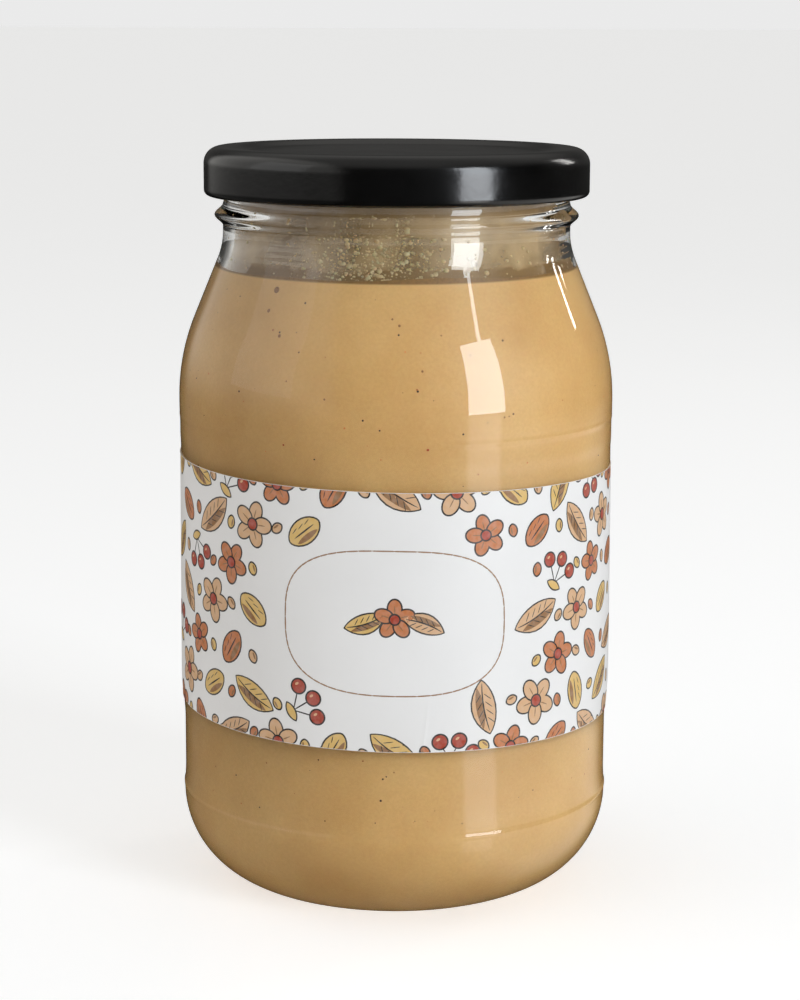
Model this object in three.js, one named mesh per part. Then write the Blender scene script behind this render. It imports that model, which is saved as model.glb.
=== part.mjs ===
// A jar of peanut butter: a clear glass jar, its twist-off steel lid, a paper label wrapped round it,
// and the butter inside. Millimetres, +Z up, origin at the centre of the ring that the jar stands on.
import * as THREE from 'three';
import { mergeVertices } from 'three/addons/utils/BufferGeometryUtils.js';

// Facets round the jar. The label uses the same ones, so that it lies flat on the glass.
const SIDES = 48;
const FACET = (2 * Math.PI) / SIDES;

// Glass, from the base up.
const GLASS_HEIGHT = 165.4;
const WALL = 2.6;
const HEEL = { ring: 48.45, width: 19.5, height: 20.8 };
const PUNT = { radius: 25, depth: 2.2 };
const FLOOR_THICKNESS = 3.2;

// Radius of the glass body at its levels, straight between them: heel ring, lower body, label panel
// with its slight swell, and the faint ring where the shoulder starts.
const BODY_LEVELS = [
  { z: HEEL.height, r: HEEL.ring },
  { z: 25, r: 48.2 },
  { z: 38, r: 48.2 },
  { z: 46, r: 48.75 },
  { z: 60, r: 48.72 },
  { z: 100.5, r: 48.45 },
  { z: 102, r: 48.57 },
  { z: 106, r: 48.55 },
  { z: 108, r: 48.67 },
  { z: 110.5, r: 48.67 },
];

// Shoulder: a large outer arc, a straight slope and a small arc into the neck, each tangent to the next.
const NECK_RADIUS = 38.6;
const SHOULDER = { bottom: 110.5, top: 147.8, slope: THREE.MathUtils.degToRad(22.2), neckArc: 16 };

// Rounded bead below the lid, and the rim of the mouth.
const BEAD = { z: 151.3, halfHeight: 2.4, depth: 1.85 };
const FINISH = { radius: 38.3, from: 154.6, rimRound: 1.1 };

// Lid: pressed sheet with a sunken panel, a rounded shoulder, a skirt and a rolled lower edge.
const LID = {
  radius: 42.75, bottom: 155.5, top: 166.2, sheet: 0.4,
  cornerRound: 3.6, curlRound: 1.3, curlWidth: 2.3,
  panelRadius: 33.2, rimRadius: 35.6, panelDepth: 1.1,
};

// Butter: level of its top and the height of its gentle waves.
const BUTTER = { level: 139.5, gap: 0.15, wave: 0.45 };

// Label: paper wrapped round the front, with a slight climb to one side and bare glass behind.
const LABEL = { bottom: 41.3, top: 97.2, paper: 0.12, gap: 0.1, climb: -0.0167, facets: 44 };

const COLOURS = {
  glass: { color: 0xdfe3d8, roughness: 0.05, metalness: 0, transparent: true, opacity: 0.35 },
  lid: { color: 0x0b0b0a, roughness: 0.25, metalness: 0.3 },
  butter: { color: 0xc79a5c, roughness: 0.5, metalness: 0 },
  label: { color: 0xe4e4e4, roughness: 0.6, metalness: 0 },
};

// Height and radius at which each shoulder arc meets the straight slope.
function shoulderJoints() {
  const { bottom, top, slope, neckArc } = SHOULDER;
  const bodyRadius = BODY_LEVELS.at(-1).r;
  const lean = Math.tan(slope);
  const run = 1 - Math.cos(slope);
  const rise = Math.sin(slope);
  // The outer arc's radius follows from the whole drop in height and radius.
  const drop = bodyRadius - NECK_RADIUS - neckArc * run;
  const height = top - bottom - neckArc * rise;
  const bodyArc = (drop - lean * height) / (run - lean * rise);
  return { bodyRadius, bodyArc, bodyEnd: bottom + bodyArc * rise, neckEnd: top - neckArc * rise };
}

// Outer radius of the glass at a height between the heel ring and the neck.
function outerRadius(z) {
  const { bottom, top, slope, neckArc } = SHOULDER;
  if (z >= top) return NECK_RADIUS;
  if (z >= bottom) {
    const { bodyRadius, bodyArc, bodyEnd, neckEnd } = shoulderJoints();
    if (z <= bodyEnd) return bodyRadius - bodyArc + Math.sqrt(bodyArc ** 2 - (z - bottom) ** 2);
    if (z >= neckEnd) return NECK_RADIUS + neckArc - Math.sqrt(neckArc ** 2 - (top - z) ** 2);
    return outerRadius(bodyEnd) - Math.tan(slope) * (z - bodyEnd);
  }
  const above = BODY_LEVELS.findIndex((level) => level.z >= z);
  if (above <= 0) return BODY_LEVELS[0].r;
  const [low, high] = [BODY_LEVELS[above - 1], BODY_LEVELS[above]];
  return low.r + ((high.r - low.r) * (z - low.z)) / (high.z - low.z);
}

// Points of an elliptical quarter or arc, angles in degrees.
function arc(centreR, centreZ, radiusR, radiusZ, from, to, steps) {
  return Array.from({ length: steps + 1 }, (_, i) => {
    const angle = THREE.MathUtils.degToRad(from + ((to - from) * i) / steps);
    return new THREE.Vector2(centreR + radiusR * Math.cos(angle), centreZ + radiusZ * Math.sin(angle));
  });
}

const range = (from, to, steps) => Array.from({ length: steps + 1 }, (_, i) => from + ((to - from) * i) / steps);

// Leaves a closed surface with shared vertices, no sliver triangles and its faces pointing out.
function closedSolid(geometry) {
  geometry.deleteAttribute('normal');
  geometry.deleteAttribute('uv');
  const merged = mergeVertices(geometry, 1e-4);
  const old = merged.index.array;
  const kept = [];
  for (let i = 0; i < old.length; i += 3) {
    const [a, b, c] = [old[i], old[i + 1], old[i + 2]];
    if (a !== b && b !== c && c !== a) kept.push(a, b, c);
  }
  const corner = [0, 1, 2].map(() => new THREE.Vector3());
  let volume = 0;
  for (let i = 0; i < kept.length; i += 3) {
    corner.forEach((point, k) => point.fromBufferAttribute(merged.attributes.position, kept[i + k]));
    volume += corner[0].dot(corner[1].clone().cross(corner[2])) / 6;
  }
  if (volume < 0) kept.reverse();
  merged.setIndex(kept);
  merged.computeVertexNormals();
  return merged;
}

// Turns a profile of (radius, height) points about the vertical axis.
function turned(profile) {
  const geometry = new THREE.LatheGeometry(profile, SIDES);
  geometry.rotateX(Math.PI / 2);
  return geometry;
}

function glassGeometry() {
  const punt = arc(0, 0, PUNT.radius, PUNT.depth, 90, 0, 4);
  const heel = arc(HEEL.ring - HEEL.width, HEEL.height, HEEL.width, HEEL.height, -90, 0, 8);
  const wallHeights = [
    ...BODY_LEVELS.slice(1).map((level) => level.z),
    ...range(SHOULDER.bottom, SHOULDER.top, 10).slice(1),
  ];
  const wall = wallHeights.map((z) => new THREE.Vector2(outerRadius(z), z));
  const bead = range(-1, 1, 8).map((t) => new THREE.Vector2(
    NECK_RADIUS + BEAD.depth * Math.cos((t * Math.PI) / 2) ** 2,
    BEAD.z + BEAD.halfHeight * t,
  ));
  const round = FINISH.rimRound;
  const mouthRadius = NECK_RADIUS - WALL;
  const rim = [
    new THREE.Vector2(FINISH.radius, FINISH.from),
    ...arc(FINISH.radius - round, GLASS_HEIGHT - round, round, round, 0, 90, 3),
    ...arc(mouthRadius + round, GLASS_HEIGHT - round, round, round, 90, 180, 3),
  ];
  return closedSolid(turned([
    ...punt, ...heel, ...wall, ...bead, ...rim,
    ...innerWall(0, GLASS_HEIGHT - 2 * round).reverse(),
  ]));
}

// The inside of the glass from the middle of its floor up to a height, moved inwards by a gap.
function innerWall(gap, upTo) {
  const floor = PUNT.depth + FLOOR_THICKNESS + gap;
  const width = HEEL.width - WALL;
  const inner = HEEL.ring - WALL - gap;
  const heel = arc(inner - width, HEEL.height, width, HEEL.height - floor, -90, 0, 6);
  const heights = [38, 46, 100.5, ...range(SHOULDER.bottom, SHOULDER.top, 7)].filter((z) => z < upTo);
  const wall = [...heights, upTo].map((z) => new THREE.Vector2(outerRadius(z) - WALL - gap, z));
  return [new THREE.Vector2(0, floor), ...heel, ...wall];
}

// Gentle swells on the top of the butter, none at the glass.
function butterTop(x, y, radius) {
  const inside = 1 - Math.min(1, Math.hypot(x, y) / radius) ** 4;
  const swell = Math.sin(0.11 * x + 0.5) * Math.cos(0.09 * y - 0.4) + 0.6 * Math.sin(0.15 * y + 0.07 * x);
  return BUTTER.level + BUTTER.wave * swell * inside;
}

function butterGeometry() {
  const wall = innerWall(BUTTER.gap, BUTTER.level);
  const edge = wall.at(-1).x;
  const top = range(0.9, 0, 5).map((share) => new THREE.Vector2(edge * share, BUTTER.level));
  const geometry = turned([...wall, ...top]);
  const place = geometry.attributes.position;
  for (let i = 0; i < place.count; i += 1) {
    if (place.getZ(i) > BUTTER.level - 0.01) {
      place.setZ(i, butterTop(place.getX(i), place.getY(i), edge));
    }
  }
  return closedSolid(geometry);
}

function lidGeometry() {
  const { radius, bottom, top, sheet, cornerRound, curlRound, curlWidth } = LID;
  const panelTop = top - LID.panelDepth;
  const outside = [
    new THREE.Vector2(0, panelTop),
    new THREE.Vector2(LID.panelRadius, panelTop),
    new THREE.Vector2(LID.panelRadius + 0.9, panelTop + 0.35),
    new THREE.Vector2(LID.rimRadius, top - 0.15),
    new THREE.Vector2(LID.rimRadius + 1, top),
    ...arc(radius - cornerRound, top - cornerRound, cornerRound, cornerRound, 80, 0, 6),
    ...arc(radius - curlRound, bottom + curlRound, curlRound, curlRound, 0, -90, 4),
    new THREE.Vector2(radius - curlWidth, bottom + 0.3),
  ];
  const inside = [
    new THREE.Vector2(radius - curlWidth, bottom + 1.4),
    new THREE.Vector2(radius - sheet - 0.6, bottom + 2),
    new THREE.Vector2(radius - sheet, bottom + 2.9),
    ...arc(radius - cornerRound, top - cornerRound, cornerRound - sheet, cornerRound - sheet, 0, 90, 4),
    new THREE.Vector2(LID.rimRadius + 1, top - sheet),
    new THREE.Vector2(LID.rimRadius, top - sheet - 0.15),
    new THREE.Vector2(LID.panelRadius + 0.9, panelTop - sheet + 0.35),
    new THREE.Vector2(LID.panelRadius, panelTop - sheet),
    new THREE.Vector2(0, panelTop - sheet),
  ];
  return closedSolid(turned([...outside, ...inside]));
}

// Heights of the label's rows of points where it has gone round by an angle: its sloping lower edge,
// the levels where the glass under it changes, and its sloping upper edge.
function labelHeights(turn) {
  const climb = LABEL.climb * HEEL.ring * turn;
  const changes = BODY_LEVELS.map((level) => level.z).filter((z) => z > LABEL.bottom && z < LABEL.top);
  return [LABEL.bottom + climb, ...changes, LABEL.top + climb];
}

// The wrap as a closed sheet: an outer and an inner grid of points, joined along the four edges.
function labelGeometry() {
  const columns = LABEL.facets + 1;
  const rows = labelHeights(0).length;
  const points = [];
  for (const lift of [LABEL.gap + LABEL.paper, LABEL.gap]) {
    for (let i = 0; i < columns; i += 1) {
      const turn = (i - LABEL.facets / 2) * FACET;
      for (const z of labelHeights(turn)) {
        const r = outerRadius(z) + lift;
        points.push(r * Math.sin(turn), -r * Math.cos(turn), z);
      }
    }
  }
  const outer = (i, j) => i * rows + j;
  const inner = (i, j) => columns * rows + outer(i, j);
  const faces = [];
  const quad = (a, b, c, d) => faces.push(a, b, c, a, c, d);
  for (let i = 0; i < columns - 1; i += 1) {
    for (let j = 0; j < rows - 1; j += 1) {
      quad(outer(i, j), outer(i + 1, j), outer(i + 1, j + 1), outer(i, j + 1));
      quad(inner(i, j), inner(i, j + 1), inner(i + 1, j + 1), inner(i + 1, j));
    }
    quad(outer(i + 1, 0), outer(i, 0), inner(i, 0), inner(i + 1, 0));
    quad(outer(i, rows - 1), outer(i + 1, rows - 1), inner(i + 1, rows - 1), inner(i, rows - 1));
  }
  for (let j = 0; j < rows - 1; j += 1) {
    quad(outer(0, j), outer(0, j + 1), inner(0, j + 1), inner(0, j));
    quad(outer(columns - 1, j + 1), outer(columns - 1, j), inner(columns - 1, j), inner(columns - 1, j + 1));
  }
  const geometry = new THREE.BufferGeometry();
  geometry.setAttribute('position', new THREE.Float32BufferAttribute(points, 3));
  geometry.setIndex(faces);
  return closedSolid(geometry);
}

function namedMesh(name, geometry, finish) {
  const mesh = new THREE.Mesh(geometry, new THREE.MeshStandardMaterial(finish));
  mesh.name = name;
  return mesh;
}

const jar = new THREE.Group();
jar.add(
  namedMesh('glass_jar', glassGeometry(), COLOURS.glass),
  namedMesh('peanut_butter', butterGeometry(), COLOURS.butter),
  namedMesh('lid', lidGeometry(), COLOURS.lid),
  namedMesh('label', labelGeometry(), COLOURS.label),
);

export default jar;
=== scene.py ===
"""A jar of peanut butter with a twist-off lid and a paper label, dressed for rendering.

Laid out as an add-on and run as a script. Lengths are in metres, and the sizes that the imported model
fixes are read from it. Angles round the jar count from the middle of the label, positive to the right.
"""
import math

import bpy
import numpy as np
from bpy.props import FloatProperty, FloatVectorProperty, IntProperty, PointerProperty
from mathutils import Matrix, Vector


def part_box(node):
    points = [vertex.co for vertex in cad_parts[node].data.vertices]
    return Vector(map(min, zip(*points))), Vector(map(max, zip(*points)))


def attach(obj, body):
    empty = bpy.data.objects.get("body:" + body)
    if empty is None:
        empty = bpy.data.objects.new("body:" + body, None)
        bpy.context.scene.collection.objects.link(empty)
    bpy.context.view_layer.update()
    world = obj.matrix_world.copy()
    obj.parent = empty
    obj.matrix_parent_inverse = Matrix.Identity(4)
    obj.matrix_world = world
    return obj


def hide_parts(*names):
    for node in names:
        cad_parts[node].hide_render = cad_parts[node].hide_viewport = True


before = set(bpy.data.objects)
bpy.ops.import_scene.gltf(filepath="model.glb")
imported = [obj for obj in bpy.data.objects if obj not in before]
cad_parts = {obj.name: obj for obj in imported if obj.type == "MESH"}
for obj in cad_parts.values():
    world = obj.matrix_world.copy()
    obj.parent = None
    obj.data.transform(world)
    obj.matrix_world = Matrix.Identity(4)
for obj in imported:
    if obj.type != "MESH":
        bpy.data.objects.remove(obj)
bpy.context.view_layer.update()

bl_info = {
    "name": "Peanut butter jar",
    "version": (1, 0, 0),
    "blender": (4, 5, 0),
    "location": "3D View > Sidebar > Jar",
    "description": "Glass, contents, lid, label and studio of a jar of peanut butter",
    "category": "Object",
}

MM = 0.001

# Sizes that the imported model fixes.
GLASS_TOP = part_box("glass_jar")[1].z
BUTTER_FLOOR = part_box("peanut_butter")[0].z
LID_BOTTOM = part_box("lid")[0].z
LID_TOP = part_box("lid")[1].z
LID_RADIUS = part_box("lid")[1].x
LABEL_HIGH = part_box("label")[1].z
LABEL_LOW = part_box("label")[0].z

# The glass from the base up: push-up, heel, body levels, shoulder arcs, bead and rim.
PUNT_RADIUS, PUNT_DEPTH = 25 * MM, 2.2 * MM
HEEL_RADIUS, HEEL_WIDTH, HEEL_HEIGHT = 48.45 * MM, 19.5 * MM, 20.8 * MM
BODY_HEIGHTS = np.array([20.8, 25, 38, 46, 60, 100.5, 102, 106, 108, 110.5]) * MM
BODY_RADII = np.array([48.45, 48.2, 48.2, 48.75, 48.72, 48.45, 48.57, 48.55, 48.67, 48.67]) * MM
MOULD_RINGS = ((21.6 * MM, 0.16 * MM), (106.9 * MM, 0.07 * MM))
NECK_RADIUS = 38.6 * MM
SHOULDER_BOTTOM, SHOULDER_TOP = 110.5 * MM, 147.8 * MM
SHOULDER_SLOPE = math.radians(22.2)
NECK_ARC = 16 * MM
BEAD_HEIGHT, BEAD_HALF, BEAD_DEPTH = 151.3 * MM, 2.4 * MM, 1.85 * MM
FINISH_RADIUS, FINISH_BOTTOM, RIM_ROUND = 38.3 * MM, 154.6 * MM, 1.1 * MM

# The label: its paper, the air behind it, and how much it climbs for each metre round.
PAPER = 0.12 * MM
LABEL_GAP = 0.03 * MM
LABEL_CLIMB = -0.0167
LABEL_HALF_TURN = math.radians(165)
LABEL_RISE = -LABEL_CLIMB * HEEL_RADIUS * LABEL_HALF_TURN
LABEL_BOTTOM = LABEL_LOW + LABEL_RISE
LABEL_HEIGHT = LABEL_HIGH - LABEL_RISE - LABEL_BOTTOM

# The print: lift of its first layer off the paper and of each further one, line round a motif, rows.
INK_LIFT, INK_STEP = 0.012 * MM, 0.009 * MM
OUTLINE = 0.46 * MM
MOTIF_ROWS = 6

# The crowd of drops above the contents: middle and spread in radians, and how far up drops reach.
CROWD_MIDDLE, CROWD_SPREAD = math.radians(-7), math.radians(12)
DROP_RISE = 14 * MM
FILM_OUT, FILM_IN = 0.02 * MM, 0.05 * MM

# The camera, as fitted to the outline of the jar: place, tilt down, roll and lens.
CAMERA_PLACE = (1.01 * MM, -555.8 * MM, 192.6 * MM)
CAMERA_TILT = math.radians(10.81)
CAMERA_ROLL = math.radians(0.24)
CAMERA_LENS = 89.58

# Where the tall window stands, in degrees round the jar, and its glare on the table for reflections:
# brightness and the half angles in which it is full and in which it ends.
WINDOW_AZIMUTH = 47
GLARE, GLARE_FULL, GLARE_END = 1.6, math.radians(7), math.radians(11)

# Lights: azimuth, lower and upper edge, distance, width, share of its group's power, and tint.
LIGHTS = {
    "window_pane": (WINDOW_AZIMUTH, 0.05, 0.84, 1.2, 0.43, 1.0, (0.93, 0.985, 1.04)),
    "window_gap": (WINDOW_AZIMUTH + 3, 0.84, 1.00, 1.2, 0.05, 0.025, (0.95, 1.0, 1.05)),
    "side_near": (122, 0.38, 0.78, 1.1, 0.040, 0.5, (1.0, 0.98, 0.95)),
    "side_far": (128, 0.38, 0.78, 1.1, 0.040, 0.5, (1.0, 0.98, 0.95)),
    "fill_left": (-75, 0.2, 1.4, 1.5, 1.1, 1.0, (0.97, 0.98, 1.0)),
}

# The room that reflections see, as masks over the direction: axis, start, end, and the values there.
ROOM = {
    "left": ("X", -0.45, -0.62, 0.015, 0.66),
    "behind": ("Y", -0.1, 0.6, 0.0, 0.055),
    "above": ("Z", 0.30, 0.90, 0.0, 0.40),
    "horizon": ("Z", -0.16, 0.10, 0.12, 1.0),
    "low": ("Z", 0.0, -0.10, 0.0, 1.0),
    "near": ("Z", -0.55, -0.35, 0.0, 1.0),
    "right": ("X", 0.40, 0.75, 0.0, 0.85),
    "under": ("Z", -0.10, -0.26, 0.0, 1.0),
}
ROOM_WARMTH = {"Red": 1.0, "Green": 0.98, "Blue": 0.94}
BACKDROP = (0.825, 0.825, 0.825, 1)

# The table: radius, glow, and what the camera sees on top of the glow.
FLOOR_REACH = 150
FLOOR_GLOW, FLOOR_GLOW_SEEN = 0.43, 0.19


def colour(red, green, blue):
    """Linear colour of a display colour given in 0 to 255."""
    part = np.array([red, green, blue]) / 255
    linear = np.where(part <= 0.04045, part / 12.92, ((part + 0.055) / 1.055) ** 2.4)
    return tuple(float(value) for value in linear)


INK = {
    "line": colour(30, 20, 13),
    "ochre": colour(221, 182, 104),
    "sand": colour(216, 172, 128),
    "rust": colour(197, 118, 66),
    "red": colour(172, 58, 28),
    "shade": colour(150, 106, 62),
}

# Marks that stand out against the glass: angle in degrees, height and size in millimetres, and ink.
MARKS = [
    (-39, 137.1, 1.1, "shade"), (-40, 132.8, 0.65, "shade"), (-34, 128, 0.6, "shade"),
    (1, 131, 0.45, "shade"),
    (-1, 132.3, 0.35, "shade"), (7, 122, 0.4, "shade"), (8.3, 106, 0.5, "red"), (-30, 106, 0.4, "red"),
    (-45, 116, 0.35, "line"), (5.7, 118, 0.4, "line"), (29, 112, 0.35, "shade"), (17.5, 109, 0.35, "line"),
    (-8.3, 112, 0.35, "line"), (-4, 110, 0.3, "line"), (-18.5, 116, 0.35, "shade"), (-3.5, 30, 0.4, "line"),
]


def body_radius(z):
    """Outer radius of the glass: straight lines between the body's levels, softened over a millimetre
    or two, then a large arc, a straight slope and a small arc, each tangent to the next. The faint
    mould rings are added as bell curves of the height."""
    reach = np.linspace(-1.6, 1.6, 9) * MM
    weight = np.exp(-((reach / (0.8 * MM)) ** 2))
    body = sum(w * np.interp(z + d, BODY_HEIGHTS, BODY_RADII) for d, w in zip(reach, weight)) / weight.sum()
    run, rise, lean = 1 - math.cos(SHOULDER_SLOPE), math.sin(SHOULDER_SLOPE), math.tan(SHOULDER_SLOPE)
    drop = BODY_RADII[-1] - NECK_RADIUS - NECK_ARC * run
    height = SHOULDER_TOP - SHOULDER_BOTTOM - NECK_ARC * rise
    arc = (drop - lean * height) / (run - lean * rise)
    arc_end = SHOULDER_BOTTOM + arc * rise
    neck_start = SHOULDER_TOP - NECK_ARC * rise
    above = np.clip(z - SHOULDER_BOTTOM, 0, arc * rise)
    large = BODY_RADII[-1] - arc + np.sqrt(arc**2 - above**2)
    straight = BODY_RADII[-1] - arc * run - lean * (z - arc_end)
    below = np.clip(SHOULDER_TOP - z, 0, NECK_ARC * rise)
    small = NECK_RADIUS + NECK_ARC - np.sqrt(NECK_ARC**2 - below**2)
    shoulder = np.where(z <= arc_end, large, np.where(z >= neck_start, small, straight))
    rings = sum(height * np.exp(-(((z - level) / (0.55 * MM)) ** 2)) for level, height in MOULD_RINGS)
    return np.where(z < SHOULDER_BOTTOM, body, shoulder) + rings


def inner_radius(z, wall):
    """Radius of the inside of the glass, a wall's thickness in from the outside."""
    return body_radius(z) - wall


def arc_points(centre_r, centre_z, radius_r, radius_z, start, end, steps):
    """Points of an ellipse's arc: centre plus the radii times cosine and sine, angles in degrees."""
    angle = np.radians(np.linspace(start, end, steps + 1))
    return np.column_stack([centre_r + radius_r * np.cos(angle), centre_z + radius_z * np.sin(angle)])


def grid_quads(rows, columns, wrap_rows=False, wrap_columns=False):
    """Corner numbers of the four-sided faces of a grid of points, row by row."""
    i = np.arange(rows if wrap_rows else rows - 1)[:, None]
    j = np.arange(columns if wrap_columns else columns - 1)[None, :]
    below, right = (i + 1) % rows, (j + 1) % columns
    corners = [i * columns + j, i * columns + right, below * columns + right, below * columns + j]
    return np.stack([np.broadcast_to(c, (i.size, j.size)) for c in corners], axis=-1).reshape(-1, 4)


def closed_rings(rows, ring):
    """Faces of rows of points in rings, with one point before the first row and one after the last."""
    j = np.arange(ring)
    after = (j + 1) % ring
    last = rows * ring + 1
    start = np.column_stack([np.zeros_like(j), 1 + after, 1 + j])
    end = np.column_stack([np.full_like(j, last), last - ring + j, last - ring + after])
    return [grid_quads(rows, ring, wrap_columns=True) + 1, start, end]


def outward(points, faces):
    """The faces, turned over if the volume that they enclose comes out negative."""
    volume = 0.0
    for face in faces:
        a = points[face[:, 0]]
        for k in range(1, face.shape[1] - 1):
            volume += np.einsum("ij,ij->", a, np.cross(points[face[:, k]], points[face[:, k + 1]]))
    return faces if volume >= 0 else [face[:, ::-1] for face in faces]


def new_piece(name, points, faces, material, smooth_angle=50, inks=None):
    """A mesh object from an array of points and arrays of faces, hung under the root's empty."""
    mesh = bpy.data.meshes.new(name)
    mesh.from_pydata(points.tolist(), [], [corners for face in faces for corners in face.tolist()])
    mesh.polygons.foreach_set("use_smooth", np.ones(len(mesh.polygons), dtype=bool))
    if inks is not None:
        layer = mesh.color_attributes.new("ink", "FLOAT_COLOR", "POINT")
        layer.data.foreach_set("color", np.column_stack([inks, np.ones(len(inks))]).ravel())
    mesh.set_sharp_from_angle(angle=math.radians(smooth_angle))
    mesh.materials.append(material)
    mesh.update()
    piece = bpy.data.objects.new(name, mesh)
    bpy.context.scene.collection.objects.link(piece)
    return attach(piece, "root")


def revolve(profile, sides, swell=None):
    """Points and faces of a profile turned about the jar's axis: x is r sin a, y is minus r cos a.

    The profile starts and ends on the axis, where one point closes each pole. swell adds a distance
    to the radius as a function of angle and height."""
    angle = np.arange(sides) * 2 * math.pi / sides
    radius = np.broadcast_to(profile[1:-1, 0][:, None], (len(profile) - 2, sides)).copy()
    height = np.broadcast_to(profile[1:-1, 1][:, None], radius.shape)
    if swell is not None:
        radius += swell(angle[None, :], height)
    rings = np.stack([radius * np.sin(angle), -radius * np.cos(angle), height], axis=-1).reshape(-1, 3)
    low, high = [0, 0, profile[0, 1]], [0, 0, profile[-1, 1]]
    points = np.vstack([[low], rings, [high]])
    return points, outward(points, closed_rings(len(profile) - 2, sides))


def tube_band(outer, inner, sides):
    """Points and faces of a closed thin band: an outer and an inner profile joined at both ends."""
    profile = np.vstack([outer, inner[::-1]])
    angle = np.arange(sides) * 2 * math.pi / sides
    r, z = profile[:, :1], np.broadcast_to(profile[:, 1:], (len(profile), sides))
    points = np.stack([r * np.sin(angle), -r * np.cos(angle), z], axis=-1).reshape(-1, 3)
    return points, outward(points, [grid_quads(len(profile), sides, True, True)])


class Nodes:
    """A few short calls for building a node tree."""

    def __init__(self, tree):
        self.tree = tree

    def add(self, kind, **values):
        """A node with its attributes set, and its inputs where a key is a socket's name."""
        node = self.tree.nodes.new(kind)
        for key, value in values.items():
            if key in node.inputs:
                self.put(node.inputs[key], value)
            else:
                setattr(node, key, value)
        return node

    def put(self, socket, value):
        """Links another node's socket to this one, or sets its constant."""
        if isinstance(value, bpy.types.NodeSocket):
            self.tree.links.new(value, socket)
        else:
            socket.default_value = value

    def fill(self, node, **values):
        """Sets a node's sockets by name, with an underscore for each space."""
        for label, value in values.items():
            self.put(node.inputs[label.replace("_", " ")], value)

    def ramp(self, value, start, end, first=0.0, last=1.0, **settings):
        """One Map Range node's output: first to last while the value goes from start to end."""
        node = self.add("ShaderNodeMapRange", Value=value, **settings)
        self.fill(node, From_Min=start, From_Max=end, To_Min=first, To_Max=last)
        return node.outputs["Result"]

    def height(self):
        """The object's own Z."""
        place = self.add("ShaderNodeTexCoord").outputs["Object"]
        return self.add("ShaderNodeSeparateXYZ", Vector=place).outputs["Z"]

    def maths(self, operation, a, b=0.0):
        """One Math node's output."""
        node = self.add("ShaderNodeMath", operation=operation)
        self.put(node.inputs[0], a)
        self.put(node.inputs[1], b)
        return node.outputs[0]

    def blend(self, factor, a, b):
        """Mix of two colours."""
        node = self.add("ShaderNodeMix", data_type="RGBA")
        self.put(node.inputs["Factor"], factor)
        self.put(node.inputs[6], a)
        self.put(node.inputs[7], b)
        return node.outputs[2]


def effect_group(name, inputs, output, fill):
    """A shader node group with named number inputs and one output, built once."""
    if name in bpy.data.node_groups:
        return bpy.data.node_groups[name]
    tree = bpy.data.node_groups.new(name, "ShaderNodeTree")
    for label, value in inputs.items():
        socket = tree.interface.new_socket(label, in_out="INPUT", socket_type="NodeSocketFloat")
        socket.default_value = value
    tree.interface.new_socket(output[0], in_out="OUTPUT", socket_type=output[1])
    nodes = Nodes(tree)
    source = nodes.add("NodeGroupInput")
    target = nodes.add("NodeGroupOutput")
    nodes.put(target.inputs[0], fill(nodes, source.outputs))
    return tree


def mottle_group():
    """Soft patches: noise over the object's own coordinates, spread between Low and High."""

    def fill(nodes, given):
        place = nodes.add("ShaderNodeTexCoord").outputs["Object"]
        noise = nodes.add("ShaderNodeTexNoise", Vector=place, Scale=given["Scale"], Detail=given["Detail"])
        return nodes.ramp(noise.outputs["Fac"], 0.3, 0.7, given["Low"], given["High"])

    values = {"Scale": 100.0, "Detail": 3.0, "Low": 0.0, "High": 1.0}
    return effect_group("soft_mottle", values, ("Value", "NodeSocketFloat"), fill)


def relief_group():
    """Fine relief: noise over the object's own coordinates, as a bump of a given depth."""

    def fill(nodes, given):
        place = nodes.add("ShaderNodeTexCoord").outputs["Object"]
        noise = nodes.add("ShaderNodeTexNoise", Vector=place, Scale=given["Scale"], Detail=given["Detail"])
        bump = nodes.add("ShaderNodeBump", Height=noise.outputs["Fac"], Distance=given["Depth"])
        return bump.outputs["Normal"]

    values = {"Scale": 400.0, "Detail": 3.0, "Depth": 0.00005}
    return effect_group("fine_relief", values, ("Normal", "NodeSocketVector"), fill)


def new_material(name, **values):
    """A material with one Principled shader, whose plain numbers are set on its own sockets."""
    material = bpy.data.materials.new(name)
    material.use_nodes = True
    nodes = Nodes(material.node_tree)
    shader = material.node_tree.nodes["Principled BSDF"]
    nodes.fill(shader, **values)
    return material, nodes, shader


def mottle(nodes, scale, detail, low, high):
    """One use of the soft patches."""
    node = nodes.add("ShaderNodeGroup", node_tree=mottle_group())
    nodes.fill(node, Scale=scale, Detail=detail, Low=low, High=high)
    return node.outputs[0]


def relief(nodes, scale, detail, depth):
    """One use of the fine relief."""
    node = nodes.add("ShaderNodeGroup", node_tree=relief_group())
    nodes.fill(node, Scale=scale, Detail=detail, Depth=depth)
    return node.outputs[0]


def glass_material(look):
    """Clear bottle glass, faintly green, that lets light through to what it holds."""
    material, nodes, shader = new_material(
        "clear_glass", Transmission_Weight=1.0, IOR=1.5, Base_Color=(*look.tint, 1)
    )
    nodes.fill(
        shader,
        Roughness=mottle(nodes, 35.0, 2.0, 0.006, 0.03),
        Normal=relief(nodes, 22.0, 1.0, 0.00009),
    )
    clear = nodes.add("ShaderNodeBsdfTransparent", Color=(0.95, 0.96, 0.94, 1))
    path = nodes.add("ShaderNodeLightPath")
    mix = nodes.add("ShaderNodeMixShader")
    nodes.put(mix.inputs[0], path.outputs["Is Shadow Ray"])
    nodes.put(mix.inputs[1], shader.outputs[0])
    nodes.put(mix.inputs[2], clear.outputs[0])
    nodes.put(nodes.tree.nodes["Material Output"].inputs["Surface"], mix.outputs[0])
    return material


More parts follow.
